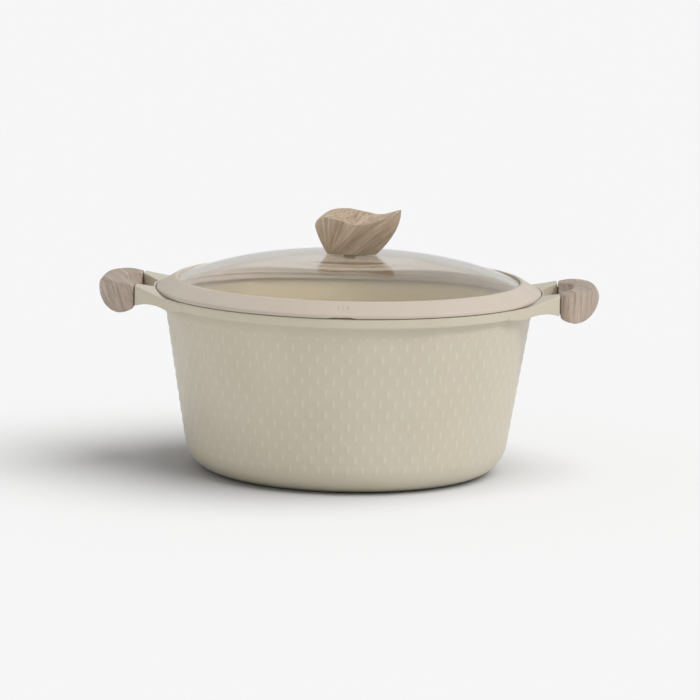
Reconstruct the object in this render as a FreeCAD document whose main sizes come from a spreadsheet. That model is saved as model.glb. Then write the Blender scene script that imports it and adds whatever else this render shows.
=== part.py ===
"""Two-handled casserole pot with a domed glass lid, as a FreeCAD macro.

Frame: origin at the centre of the base, +Z up, handles along X, millimetres.
The pot is one casting with a bracket of two arms on each side. Each bracket
carries a screwed-on grip. The lid is a glass dome in a silicone rim seal, with
a knob clamped through a hole in the glass.
"""
import FreeCAD
import Part
import math
import os
import Sketcher

V = FreeCAD.Vector
Z_AXIS = V(0, 0, 1)

DIMENSIONS = {
    # pot shell
    "rim_top": 117.2,
    "wall_ref_z": 100.0,
    "wall_ref_rad": 119.7,
    "wall_slope": 0.1595,
    "wall_thick": 3.2,
    "floor_top": 6.0,
    "base_round": 22.0,
    "floor_round": 18.0,
    "cove_low": 106.0,
    "band_low": 111.2,
    "band_step": 0.9,
    "band_rad": 126.3,
    "band_lip": 3.0,
    "disc_rad": 78.0,
    "disc_gap": 0.2,
    "disc_recess": 1.5,
    "disc_thick": 1.2,
    "disc_bevel": 0.3,
    # brackets
    "arm_bottom": 109.9,
    "arm_top": 124.5,
    "arm_rise": 0.3,
    "crest_start": 116.9,
    "seal_ledge": 127.5,
    "arm_end": 138.1,
    "arm_half": 39.0,
    "arm_wide": 11.5,
    "arm_root": 121.5,
    "flare_angle": 36.6,
    "hole_rad": 128.6,
    "hole_half": 16.0,
    "hole_round": 6.0,
    "arch_x": 127.2,
    "arch_z": 83.8,
    "arch_rad": 28.4,
    "tang_inner": 30.0,
    "tang_outer": 36.5,
    "tang_low": 112.5,
    "tang_high": 119.5,
    "tang_end": 148.0,
    # grips
    "grip_start": 138.8,
    "grip_end": 164.9,
    "grip_end_rad": 55.0,
    "grip_corner_rad": 15.0,
    "grip_nose_rad": 7.0,
    "grip_low_x": 149.1,
    "grip_low_z": 121.2,
    "grip_low_rad": 16.1,
    "grip_top": 125.4,
    "grip_top_in": 123.4,
    "grip_crown_rad": 67.0,
    "scoop_x": 137.0,
    "scoop_z": 126.0,
    "scoop_half": 28.5,
    "scoop_deep": 11.0,
    "socket_gap": 0.2,
    # grip screws
    "gscrew_x": 143.6,
    "gscrew_y": 33.25,
    "gscrew_seat": 109.5,
    "gscrew_tip": 119.0,
    "gscrew_rad": 1.95,
    "gscrew_head_rad": 3.5,
    "gscrew_head": 2.2,
    "gscrew_drive": 1.2,
    "hole_slack": 0.1,
    "counterbore_rad": 3.9,
    # screw shapes, as shares of the head's height, the shank and the head
    "head_ease": 0.35,
    "screw_point": 0.3,
    "drive_wide": 0.11,
    "drive_long": 0.45,
    # glass dome
    "dome_top": 142.9,
    "crown_rad": 700.0,
    "crown_reach": 45.0,
    "shoulder_rad": 212.0,
    "glass_rad": 118.4,
    "glass_thick": 4.0,
    "glass_bore": 3.6,
    # rim seal
    "seal_low": 117.6,
    "seal_rad": 127.0,
    "seal_edge": 119.2,
    "seal_inner": 112.6,
    "seal_lip": 127.0,
    "seal_lip_rad": 113.9,
    "seal_gap": 0.1,
    "skirt_low": 115.0,
    "skirt_out": 117.4,
    "skirt_in": 114.9,
    "skirt_bevel": 0.6,
    "seal_round": 0.9,
    "lip_drop": 0.4,
    "vent_x": 0.0,
    "vent_half": 8.6,
    "vent_rise": 1.0,
    # knob
    "knob_low": 143.1,
    "knob_tip": 172.8,
    "knob_left": 15.2,
    "knob_right": 17.8,
    "knob_left_out": 8.4,
    "knob_right_out": 15.6,
    "knob_half": 10.0,
    "knob_half_out": 3.6,
    "knob_shoulder": 163.5,
    "knob_point": 0.7,
    "knob_dish": 4.5,
    # knob fixing, from the top down
    "insert_rad": 4.0,
    "insert_top": 155.0,
    "seat_rad": 8.0,
    "seat_thick": 1.0,
    "sleeve_gap": 0.1,
    "thread_gap": 0.03,
    "bush_gap": 0.05,
    "bush_rad": 3.4,
    "bush_flange_rad": 4.8,
    "bush_flange": 0.3,
    "washer_rad": 4.7,
    "washer": 0.4,
    "kscrew_rad": 2.0,
    "kscrew_head_rad": 3.8,
    "kscrew_head": 1.1,
    "kscrew_tip": 153.5,
    "kscrew_drive": 0.7,
}

# The wavy rim of the knob between its left end and its tip, as (x, z).
FRONT_RIM = [(-14.2, 168.4), (4.0, 164.4), (20.7, 167.0)]
BACK_RIM = [(-14.2, 169.8), (-4.7, 171.8), (15.0, 168.4), (24.0, 168.9)]

# How far a cutting outline runs past the material it cuts.
PAST = 5.0


class Dim(float):
    """A number that also carries the spreadsheet formula it comes from."""

    def __new__(cls, value, text):
        self = super().__new__(cls, value)
        self.text = text
        return self

    def _join(self, sign, other, value):
        return Dim(value, f"({self.text} {sign} {text_of(other)})")

    def __add__(self, other):
        return self._join("+", other, float(self) + float(other))

    def __sub__(self, other):
        return self._join("-", other, float(self) - float(other))

    def __rsub__(self, other):
        return -self + other

    def __mul__(self, other):
        return self._join("*", other, float(self) * float(other))

    def __truediv__(self, other):
        return self._join("/", other, float(self) / float(other))

    def __neg__(self):
        return Dim(-float(self), f"(-{self.text})")


def text_of(value):
    return value.text if isinstance(value, Dim) else repr(float(value))


def root(value):
    return Dim(math.sqrt(value), f"sqrt({value.text})")


def cosine(degrees):
    return Dim(math.cos(math.radians(degrees)), f"cos({degrees.text})")


def sine(degrees):
    return Dim(math.sin(math.radians(degrees)), f"sin({degrees.text})")


class Sheet:
    """The driving dimensions, read as attributes, each one a Dim."""

    def __init__(self, doc):
        self.cells = doc.addObject("Spreadsheet::Sheet", "dims")
        for row, (name, value) in enumerate(DIMENSIONS.items(), start=1):
            self.cells.set(f"A{row}", name)
            self.cells.set(f"B{row}", str(value))
            self.cells.setAlias(f"B{row}", name)
        doc.recompute()

    def __getattr__(self, name):
        return Dim(self.cells.get(name), f"dims.{name}")


# ---------------------------------------------------------------- sketches

def bind(obj, prop, value):
    """Set a property and tie it to its formula."""
    setattr(obj, prop, float(value))
    if isinstance(value, Dim):
        obj.setExpression(prop, value.text)


def origin_feature(body, role):
    return next(f for f in body.Origin.OriginFeatures if f.Role == role)


def sketch_on(body, role, name, height=None):
    sketch = body.newObject("Sketcher::SketchObject", name)
    sketch.AttachmentSupport = [(origin_feature(body, role), "")]
    sketch.MapMode = "FlatFace"
    if height is not None:
        sketch.AttachmentOffset = FreeCAD.Placement(V(0, 0, float(height)), FreeCAD.Rotation())
        sketch.setExpression("AttachmentOffset.Base.z", text_of(height))
    return sketch


def dimension(sketch, kind, refs, value):
    """Add a length constraint and tie it to its formula."""
    index = sketch.addConstraint(Sketcher.Constraint(kind, *refs, float(value)))
    if isinstance(value, Dim):
        sketch.setExpression(f"Constraints[{index}]", value.text)


def place_point(sketch, curve, end, x, y):
    """Hold one end of a curve at (x, y) from the sketch origin."""
    for kind, axis, value in (("DistanceX", -2, x), ("DistanceY", -1, y)):
        if float(value) == 0.0:
            sketch.addConstraint(Sketcher.Constraint("PointOnObject", curve, end, axis))
        elif float(value) > 0.0:
            dimension(sketch, kind, (-1, 1, curve, end), value)
        else:
            dimension(sketch, kind, (curve, end, -1, 1), -value)


class Arc:
    """A corner reached by an arc from the corner before, about a centre."""

    def __init__(self, x, y, centre, radius):
        self.x = x
        self.y = y
        self.centre = centre
        self.radius = radius


def outline(sketch, corners):
    """A closed loop through corners: (x, y) by a line, Arc(...) by an arc."""
    places = [(c.x, c.y) if isinstance(c, Arc) else c for c in corners]
    curves = []
    for number, corner in enumerate(corners):
        start = V(float(places[number - 1][0]), float(places[number - 1][1]), 0)
        end = V(float(places[number][0]), float(places[number][1]), 0)
        if isinstance(corner, Arc):
            centre = V(float(corner.centre[0]), float(corner.centre[1]), 0)
            middle = (start + end) * 0.5 - centre
            middle = centre + middle.normalize() * float(corner.radius)
            shape = Part.Arc(start, middle, end)
        else:
            shape = Part.LineSegment(start, end)
        curves.append((sketch.addGeometry(shape, False), corner, start, end))
    for number, (curve, corner, start, end) in enumerate(curves):
        end_point = far_end(sketch, curve, end)
        after, _, after_start, _ = curves[(number + 1) % len(curves)]
        start_point = far_end(sketch, after, after_start)
        sketch.addConstraint(
            Sketcher.Constraint("Coincident", curve, end_point, after, start_point))
        place_point(sketch, curve, end_point, *places[number])
    for curve, corner, _, _ in curves:
        if isinstance(corner, Arc):
            dimension(sketch, "Radius", (curve,), corner.radius)


def far_end(sketch, curve, target):
    """The vertex number of a curve that lies at the target point."""
    first = sketch.getPoint(curve, 1)
    return 1 if first.distanceToPoint(target) < 1e-4 else 2


def circle(sketch, x, y, radius):
    curve = sketch.addGeometry(Part.Circle(V(float(x), float(y), 0), Z_AXIS, float(radius)), False)
    place_point(sketch, curve, 3, x, y)
    dimension(sketch, "Radius", (curve,), radius)


def rectangle(sketch, low_x, low_y, high_x, high_y):
    outline(sketch, [(low_x, low_y), (high_x, low_y), (high_x, high_y), (low_x, high_y)])


# ---------------------------------------------------------------- features

def new_body(doc, label):
    body = doc.addObject("PartDesign::Body", label)
    body.Label = label
    body.AllowCompound = True
    return body


def turned(body, kind, name, corners):
    """Revolve, or groove away, an X-Z outline about the Z axis."""
    sketch = sketch_on(body, "XZ_Plane", f"{name}_outline")
    outline(sketch, corners)
    feature = body.newObject(f"PartDesign::{kind}", name)
    feature.Profile = sketch
    feature.ReferenceAxis = (sketch, ["V_Axis"])
    feature.Angle = 360.0
    return feature


def raised(body, kind, name, low, high, draw):
    """Pad or pocket from one height up to another; draw fills the sketch."""
    sketch = sketch_on(body, "XY_Plane", f"{name}_outline", low)
    draw(sketch)
    feature = body.newObject(f"PartDesign::{kind}", name)
    feature.Profile = sketch
    bind(feature, "Length", high - low)
    feature.Reversed = kind == "Pocket"
    return feature


def cut_across(body, name, draw):
    """Pocket an X-Z outline right through the body along Y."""
    sketch = sketch_on(body, "XZ_Plane", f"{name}_outline")
    draw(sketch)
    feature = body.newObject("PartDesign::Pocket", name)
    feature.Profile = sketch
    feature.Type = "ThroughAll"
    feature.SideType = "Symmetric"
    return feature


def mirrored(body, name):
    """Repeat the whole body so far on the other side of the X-Z plane."""
    body.Document.recompute()
    feature = body.newObject("PartDesign::Mirrored", name)
    feature.TransformMode = "Whole shape"
    feature.MirrorPlane = (origin_feature(body, "XZ_Plane"), [""])
    body.Tip = feature


def half_turned(body, name):
    """Repeat the whole body so far half a turn about Z."""
    body.Document.recompute()
    feature = body.newObject("PartDesign::PolarPattern", name)
    feature.TransformMode = "Whole shape"
    feature.Axis = (origin_feature(body, "Z_Axis"), [""])
    feature.Angle = 360.0
    feature.Occurrences = 2
    body.Tip = feature


def rounded(body, name, radius, choose):
    """Fillet the edges of the body's tip that choose(edge) picks."""
    body.Document.recompute()
    base = body.Tip
    edges = [f"Edge{n}" for n, edge in enumerate(base.Shape.Edges, start=1) if choose(edge)]
    if not edges:
        raise RuntimeError(f"{name}: no edge to round")
    feature = body.newObject("PartDesign::Fillet", name)
    feature.Base = (base, edges)
    bind(feature, "Radius", radius)
    body.Tip = feature
    return feature


def is_ring(edge, radius, height):
    """True for a circular edge about Z with this radius and height."""
    curve = edge.Curve
    if not isinstance(curve, Part.Circle) or abs(curve.Axis.z) < 0.999:
        return False
    return abs(curve.Radius - radius) < 0.01 and abs(curve.Center.z - height) < 0.01


def is_upright(edge, y):
    """True for a long vertical edge at this distance along Y."""
    box = edge.BoundBox
    return box.ZLength > 10 and abs(box.YMin - y) < 0.01


# ---------------------------------------------------------------- pot

def wall_rad(d, z):
    """Outer radius of the tapered wall at height z."""
    return d.wall_ref_rad - d.wall_slope * (d.wall_ref_z - z)


def shell_outline(d):
    skin = d.wall_thick * root(d.wall_slope * d.wall_slope + 1)
    recess_rad = d.disc_rad + d.disc_gap
    return [
        (0, d.disc_recess),
        (recess_rad, d.disc_recess),
        (recess_rad, 0),
        (wall_rad(d, 0), 0),
        (wall_rad(d, d.cove_low), d.cove_low),
        (d.band_rad - d.band_lip, d.band_low),
        (d.band_rad, d.band_low + d.band_step),
        (d.band_rad, d.rim_top),
        (wall_rad(d, d.rim_top) - skin, d.rim_top),
        (wall_rad(d, d.floor_top) - skin, d.floor_top),
        (0, d.floor_top),
    ]


def arm_outline(d):
    """Half a bracket: from the pot's band to the end face of one arm.

    The arm's outer side is one arc, through the outer corner of the end face
    and tangent to the band at flare_angle.
    """
    flare_cos = cosine(d.flare_angle)
    flare_sin = sine(d.flare_angle)
    reach = d.arm_end * flare_cos + d.arm_half * flare_sin
    corner_sq = d.arm_end * d.arm_end + d.arm_half * d.arm_half
    flare = (d.band_rad * (d.band_rad - reach * 2) + corner_sq) / ((reach - d.band_rad) * 2)
    centre = ((d.band_rad + flare) * flare_cos, (d.band_rad + flare) * flare_sin)
    hole_x = root(d.hole_rad * d.hole_rad - d.hole_half * d.hole_half)
    axis = (0, 0)
    return [
        (d.hole_rad, 0),
        Arc(hole_x, d.hole_half, axis, d.hole_rad),
        (d.arm_end, d.arm_half - d.arm_wide),
        (d.arm_end, d.arm_half),
        Arc(d.band_rad * flare_cos, d.band_rad * flare_sin, centre, flare),
        (d.arm_root * flare_cos, d.arm_root * flare_sin),
        Arc(d.arm_root, 0, axis, d.arm_root),
    ]


def crest_outline(d):
    """Everything above the right bracket, which rises outwards in a plane."""
    inner = d.arm_root * cosine(d.flare_angle) - PAST
    outer = d.tang_end + PAST
    high = d.arm_top + PAST
    return [
        (d.crest_start, d.rim_top),
        (outer, d.rim_top + d.arm_rise * (outer - d.crest_start)),
        (outer, high),
        (inner, high),
        (inner, d.rim_top),
    ]


def ledge_outline(d):
    """The space inside the brackets, over the rim, where the lid's seal lies."""
    inner = d.arm_root - PAST
    high = d.arm_top + PAST
    return [(inner, d.rim_top), (d.seal_ledge, d.rim_top), (d.seal_ledge, high), (inner, high)]


def make_pot_body(doc, d):
    body = new_body(doc, "pot_body")
    raised(body, "Pad", "arm", d.arm_bottom, d.arm_top, lambda s: outline(s, arm_outline(d)))
    rounded(body, "finger_hole_corner", d.hole_round, lambda edge: is_upright(edge, d.hole_half))
    cut_across(body, "arm_arch", lambda s: circle(s, d.arch_x, d.arch_z, d.arch_rad))
    cut_across(body, "arm_crest", lambda s: outline(s, crest_outline(d)))
    turned(body, "Groove", "seal_ledge", ledge_outline(d))
    raised(body, "Pad", "tang", d.tang_low, d.tang_high, lambda s: rectangle(
        s, d.arm_end - PAST, d.tang_inner, d.tang_end, d.tang_outer))
    raised(body, "Pocket", "tang_bore", d.tang_low - 1, d.tang_high + 1, lambda s: circle(
        s, d.gscrew_x, d.gscrew_y, d.gscrew_rad + d.hole_slack))
    mirrored(body, "arm_pair")
    half_turned(body, "bracket_pair")
    turned(body, "Revolution", "shell", shell_outline(d))
    outer_foot = wall_rad(d, 0)
    rounded(body, "base_rounding", d.base_round, lambda edge: is_ring(edge, outer_foot, 0))
    inner_foot = shell_outline(d)[-2][0]
    rounded(body, "floor_rounding", d.floor_round,
            lambda edge: is_ring(edge, inner_foot, d.floor_top))
    return body


def make_base_disc(doc, d):
    low = d.disc_recess - d.disc_thick
    body = new_body(doc, "base_disc")
    turned(body, "Revolution", "plate", [
        (0, low),
        (d.disc_rad - d.disc_bevel, low),
        (d.disc_rad, low + d.disc_bevel),
        (d.disc_rad, d.disc_recess),
        (0, d.disc_recess)])
    return body


# ---------------------------------------------------------------- grips

def grip_plan(d):
    """Half a grip from above: straight along its seam, with a bowed outer end."""
    corner_y = d.arm_half - d.grip_corner_rad
    end_x = d.grip_end - d.grip_end_rad
    span = d.grip_end_rad - d.grip_corner_rad
    corner_x = end_x + root(span * span - corner_y * corner_y)
    scale = d.grip_end_rad / span
    meet = (end_x + (corner_x - end_x) * scale, corner_y * scale)
    return [
        (d.grip_start, 0),
        (d.grip_start, d.arm_half),
        (corner_x, d.arm_half),
        Arc(meet[0], meet[1], (corner_x, corner_y), d.grip_corner_rad),
        Arc(d.grip_end, 0, (end_x, 0), d.grip_end_rad),
    ]


def grip_side(d):
    """A grip from the side: round below, a crowned top and a round nose.

    The nose is an arc that touches both the lower circle and the crown.
    """
    low_x, low_z = d.grip_low_x, d.grip_low_z
    rise = d.grip_top - low_z
    top_x = low_x + root(d.grip_low_rad * d.grip_low_rad - rise * rise)
    run = low_x - d.grip_start
    seam_z = low_z - root(d.grip_low_rad * d.grip_low_rad - run * run)
    chord_x = top_x - d.grip_start
    chord_z = d.grip_top - d.grip_top_in
    chord = root(chord_x * chord_x + chord_z * chord_z)
    sink = root(d.grip_crown_rad * d.grip_crown_rad - chord * chord / 4)
    crown_x = (d.grip_start + top_x) / 2 + sink * chord_z / chord
    crown_z = (d.grip_top_in + d.grip_top) / 2 - sink * chord_x / chord

    crown_reach = d.grip_crown_rad - d.grip_nose_rad
    low_reach = d.grip_low_rad - d.grip_nose_rad
    apart_x = low_x - crown_x
    apart_z = low_z - crown_z
    apart = root(apart_x * apart_x + apart_z * apart_z)
    along = (crown_reach * crown_reach - low_reach * low_reach + apart * apart) / (apart * 2)
    aside = root(crown_reach * crown_reach - along * along)
    nose_x = crown_x + (apart_x * along + apart_z * aside) / apart
    nose_z = crown_z + (apart_z * along - apart_x * aside) / apart

    def touch(from_x, from_z, stretch):
        return from_x + (nose_x - from_x) * stretch, from_z + (nose_z - from_z) * stretch
    top = touch(crown_x, crown_z, d.grip_crown_rad / crown_reach)
    end = touch(low_x, low_z, d.grip_low_rad / low_reach)
    return [
        Arc(d.grip_start, d.grip_top_in, (crown_x, crown_z), d.grip_crown_rad),
        (d.grip_start, seam_z),
        Arc(end[0], end[1], (low_x, low_z), d.grip_low_rad),
        Arc(top[0], top[1], (nose_x, nose_z), d.grip_nose_rad),
    ]


def scoop(body, d):
    """A spindle-shaped hollow for the thumb, in the top of the seam side."""
    rad = (d.scoop_half * d.scoop_half + d.scoop_deep * d.scoop_deep) / (d.scoop_deep * 2)
    sketch = sketch_on(body, "XY_Plane", "scoop_outline", d.scoop_z)
    sketch.AttachmentOffset = FreeCAD.Placement(
        V(float(d.scoop_x), 0, float(d.scoop_z)), FreeCAD.Rotation())
    sketch.setExpression("AttachmentOffset.Base.x", text_of(d.scoop_x))
    outline(sketch, [
        (0, -d.scoop_half),
        Arc(0, d.scoop_half, (d.scoop_deep - rad, 0), rad)])
    groove = body.newObject("PartDesign::Groove", "scoop")
    groove.Profile = sketch
    groove.ReferenceAxis = (sketch, ["V_Axis"])
    groove.Angle = 360.0


def make_grip(doc, d, label):
    body = new_body(doc, label)
    low = d.grip_low_z - d.grip_low_rad - PAST
    high = d.grip_top + PAST
    raised(body, "Pad", "crescent", low, high, lambda s: outline(s, grip_plan(d)))
    mirrored(body, "crescent_pair")

    def around_side(sketch):
        rectangle(sketch, d.grip_start - PAST, low - PAST, d.grip_end + PAST, high + PAST)
        outline(sketch, grip_side(d))
    cut_across(body, "side_shape", around_side)
    scoop(body, d)
    for place, side in (("front", -1), ("back", 1)):
        screw_socket(body, d, place, d.gscrew_y * side, low)
    return body


def screw_socket(body, d, place, centre_y, low):
    """The pocket for a tang, with a counterbored screw hole below it."""
    gap = d.socket_gap
    half = (d.tang_outer - d.tang_inner) / 2 + gap
    raised(body, "Pocket", f"socket_{place}", d.tang_low - gap, d.tang_high + gap, lambda s: rectangle(
        s, d.grip_start - PAST, centre_y - half, d.tang_end + gap, centre_y + half))
    raised(body, "Pocket", f"counterbore_{place}", low, d.gscrew_seat, lambda s: circle(
        s, d.gscrew_x, centre_y, d.counterbore_rad))
    raised(body, "Pocket", f"screw_hole_{place}", d.gscrew_seat - 1, d.tang_low, lambda s: circle(
        s, d.gscrew_x, centre_y, d.gscrew_rad + d.hole_slack * 2))


def cross(sketch, near, far):
    """The outline of a cross-head recess about the sketch origin."""
    outline(sketch, [
        (far, near), (near, near), (near, far), (-near, far), (-near, near), (-far, near),
        (-far, -near), (-near, -near), (-near, -far), (near, -far), (near, -near), (far, -near)])


def make_screw(doc, d, label, rad, head_rad, head, seat, tip, drive):
    """A pan-head screw that points up, its head below the seat height."""
    body = new_body(doc, label)
    low = seat - head
    ease = head * d.head_ease
    point = rad * d.screw_point
    turned(body, "Revolution", "shank", [
        (0, low),
        (head_rad - ease * 2, low),
        (head_rad - ease / 2, low + ease / 2),
        (head_rad, low + ease * 2),
        (head_rad, seat),
        (rad, seat),
        (rad, tip - point),
        (rad - point, tip),
        (0, tip)])
    raised(body, "Pocket", "drive", low - PAST, low + drive, lambda s: cross(
        s, head_rad * d.drive_wide, head_rad * d.drive_long))
    return body


def make_grip_screws(doc, d):
    screws = []
    for side, x_sign in (("left", "-"), ("right", "")):
        for place, y_sign in (("front", "-"), ("back", "")):
            screw = make_screw(
                doc, d, f"grip_screw_{side}_{place}", d.gscrew_rad, d.gscrew_head_rad,
                d.gscrew_head, d.gscrew_seat, d.gscrew_tip, d.gscrew_drive)
            screw.setExpression("Placement.Base.x", f"{x_sign}dims.gscrew_x")
            screw.setExpression("Placement.Base.y", f"{y_sign}dims.gscrew_y")
            screws.append(screw)
    return screws


# ---------------------------------------------------------------- lid

class Dome:
    """Two tangent arcs: a flat crown and a rounder shoulder.

    depth is how far the surface lies below the top of the glass.
    """

    def __init__(self, d):
        self.d = d
        self.sin = d.crown_reach / d.crown_rad
        self.cos = root(1 - self.sin * self.sin)
        self.crown_z = d.dome_top - d.crown_rad
        shift = d.crown_rad - d.shoulder_rad
        self.shoulder = (shift * self.sin, self.crown_z + shift * self.cos)

    def crown_height(self, rad, depth):
        reach = self.d.crown_rad - depth
        return self.crown_z + root(reach * reach - rad * rad)

    def knee(self, depth):
        reach = self.d.crown_rad - depth
        return (reach * self.sin, self.crown_z + reach * self.cos)

    def shoulder_height(self, rad, depth):
        reach = self.d.shoulder_rad - depth
        run = rad - self.shoulder[0]
        return self.shoulder[1] + root(reach * reach - run * run)


def make_lid_glass(doc, d):
    dome = Dome(d)
    crown = (0, dome.crown_z)
    thick = d.glass_thick
    upper_knee = dome.knee(0)
    lower_knee = dome.knee(thick)
    body = new_body(doc, "lid_glass")
    turned(body, "Revolution", "dome", [
        (d.glass_bore, dome.crown_height(d.glass_bore, 0)),
        Arc(upper_knee[0], upper_knee[1], crown, d.crown_rad),
        Arc(d.glass_rad, dome.shoulder_height(d.glass_rad, 0), dome.shoulder, d.shoulder_rad),
        (d.glass_rad, dome.shoulder_height(d.glass_rad, thick)),
        Arc(lower_knee[0], lower_knee[1], dome.shoulder, d.shoulder_rad - thick),
        Arc(d.glass_bore, dome.crown_height(d.glass_bore, thick), crown, d.crown_rad - thick)])
    return body


def seal_outline(d):
    """A U that holds the glass edge, with a flange outside and a skirt below."""
    dome = Dome(d)
    gap = d.seal_gap
    soft = d.seal_round
    groove = d.glass_rad + gap
    bevel = d.skirt_bevel
    under = d.seal_inner + 1
    under_z = dome.shoulder_height(under, d.glass_thick) - gap
    return [
        (d.seal_rad - soft, d.seal_low),
        (d.seal_rad, d.seal_low + soft),
        (d.seal_rad, d.seal_edge),
        (d.seal_rad - soft * 1.3, d.seal_edge + soft * 1.5),
        (d.seal_lip_rad + soft, d.seal_lip - d.lip_drop / 4),
        (d.seal_lip_rad, d.seal_lip),
        (d.seal_lip_rad - soft, d.seal_lip - d.lip_drop),
        (d.seal_inner, dome.shoulder_height(d.seal_inner, 0) + gap),
        (groove, dome.shoulder_height(groove, 0) + gap),
        (groove, dome.shoulder_height(groove, d.glass_thick) - gap),
        (under, under_z),
        (under, under_z - 1),
        (d.skirt_in, under_z - 2),
        (d.skirt_in, d.skirt_low + bevel),
        (d.skirt_in + bevel, d.skirt_low),
        (d.skirt_out - bevel * 1.5, d.skirt_low),
        (d.skirt_out - bevel / 2, d.skirt_low + bevel),
        (d.skirt_out, d.seal_low - bevel),
        (d.skirt_out + bevel, d.seal_low),
    ]


def make_lid_seal(doc, d):
    body = new_body(doc, "lid_rim_seal")
    turned(body, "Revolution", "ring", seal_outline(d))
    half = d.vent_half
    rise = d.vent_rise
    rad = (half * half + rise * rise) / (rise * 2)
    left = -d.vent_x - half
    right = -d.vent_x + half
    sketch = sketch_on(body, "XZ_Plane", "vent_outline")
    outline(sketch, [
        (left, d.skirt_low - PAST),
        (right, d.skirt_low - PAST),
        (right, d.seal_low),
        Arc(left, d.seal_low, (-d.vent_x, d.seal_low + rise - rad), rad)])
    vent = body.newObject("PartDesign::Pocket", "vent")
    vent.Profile = sketch
    vent.Reversed = True
    bind(vent, "Length", d.seal_rad + PAST)
    return body


def washer(doc, label, inner, outer, low, high):
    body = new_body(doc, label)
    turned(body, "Revolution", "ring", [(inner, low), (outer, low), (outer, high), (inner, high)])
    return body


def make_knob_fixing(doc, d):
    """Seat, insert, bush, washer and screw, all on the lid's axis."""
    clear = d.kscrew_rad + d.hole_slack * 3
    glass_low = d.dome_top - d.glass_thick - d.bush_gap
    flange_low = glass_low - d.bush_flange
    screw_seat = flange_low - d.washer
    seat_top = d.dome_top + d.seat_thick
    insert = new_body(doc, "knob_insert")
    insert_low = seat_top + d.sleeve_gap
    insert_end = d.insert_top - 1
    thread = d.kscrew_rad + d.thread_gap
    turned(insert, "Revolution", "sleeve", [
        (thread, insert_low),
        (d.insert_rad, insert_low),
        (d.insert_rad, d.insert_top),
        (0, d.insert_top),
        (0, insert_end),
        (thread, insert_end)])
    bush = new_body(doc, "glass_bush")
    bush_top = d.dome_top - d.sleeve_gap
    turned(bush, "Revolution", "sleeve", [
        (clear, flange_low),
        (d.bush_flange_rad, flange_low),
        (d.bush_flange_rad, glass_low),
        (d.bush_rad, glass_low),
        (d.bush_rad, bush_top),
        (clear, bush_top)])
    return [
        washer(doc, "knob_seat", clear, d.seat_rad, d.dome_top, seat_top),
        insert,
        bush,
        washer(doc, "knob_washer", clear, d.washer_rad, screw_seat, flange_low),
        make_screw(doc, d, "knob_screw", d.kscrew_rad, d.kscrew_head_rad, d.kscrew_head,
                   screw_seat, d.kscrew_tip, d.kscrew_drive),
    ]


# ---------------------------------------------------------------- knob

def eased(value, power):
    """0 to 1, fast at first and level at the end."""
    clipped = min(max(value, 0.0), 1.0)
    return 1 - (1 - clipped) ** power


def knob_section(d, z, count=28):
    """One level slice of the leaf-shaped cup, pointed on its right."""
    height = (z - d.knob_low) / (d.knob_tip - d.knob_low)
    left_height = (z - d.knob_low) / (d.knob_shoulder - d.knob_low)
    left = -d.knob_left - d.knob_left_out * eased(left_height, 1.5)
    right = d.knob_right + d.knob_right_out * eased(height, 2)
    half = d.knob_half + d.knob_half_out * eased(height, 2)
    points = []
    for number in range(count):
        angle = 2 * math.pi * number / count
        along = math.cos(angle)
        across = math.sin(angle)
        sharp = d.knob_point * height * max(along, 0.0) ** 2
        x = (left + right) / 2 + (right - left) / 2 * along
        y = half * math.copysign(abs(across) ** (1 + sharp), across)
        points.append(V(x, y, z))
    curve = Part.BSplineCurve()
    curve.interpolate(Points=points, PeriodicFlag=True)
    return Part.Wire(curve.toShape())


def through(points):
    """A height along X, by smooth cubic pieces through a few points."""
    last = len(points) - 1
    slopes = []
    for number in range(last + 1):
        before = points[max(number - 1, 0)]
        after = points[min(number + 1, last)]
        slopes.append((after[1] - before[1]) / (after[0] - before[0]))

    def height(x):
        near = min(max(x, points[0][0]), points[last][0])
        piece = max(n for n in range(last) if points[n][0] <= near)
        (x_a, z_a), (x_b, z_b) = points[piece], points[piece + 1]
        span = x_b - x_a
        part = (near - x_a) / span
        blend = part * part * (3 - 2 * part)
        lead = part * (1 - part) ** 2 * span * slopes[piece]
        trail = part * part * (1 - part) * span * slopes[piece + 1]
        return z_a + (z_b - z_a) * blend + lead - trail
    return height


def knob_top(d):
    """The dished and wavy top of the cup, as a surface to cut along."""
    left = -(d.knob_left + d.knob_left_out)
    right = d.knob_right + d.knob_right_out
    reach = d.knob_half + d.knob_half_out
    ends = [(left, d.knob_shoulder)], [(right, d.knob_tip)]
    front = through(ends[0] + FRONT_RIM + ends[1])
    back = through(ends[0] + BACK_RIM + ends[1])
    grid = []
    for column in range(15):
        x = left - PAST + (right - left + 2 * PAST) * column / 14
        middle = (x - left) / (right - left)
        bowl = d.knob_dish * math.sin(math.pi * min(max(middle, 0.0), 1.0)) ** 2
        row = []
        for step in range(-4, 5):
            across = step / 3.0
            share = min(max((across + 1) / 2, 0.0), 1.0)
            share = share * share * (3 - 2 * share)
            sag = bowl * max(1 - across * across, 0.0)
            row.append(V(x, across * reach, front(x) * (1 - share) + back(x) * share - sag))
        grid.append(row)
    surface = Part.BSplineSurface()
    surface.interpolate(grid)
    return surface.toShape()


def cylinder(doc, name, rad, low, high):
    solid = doc.addObject("Part::Cylinder", name)
    bind(solid, "Radius", rad)
    bind(solid, "Height", high - low)
    solid.setExpression("Placement.Base.z", low.text)
    return solid


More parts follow.
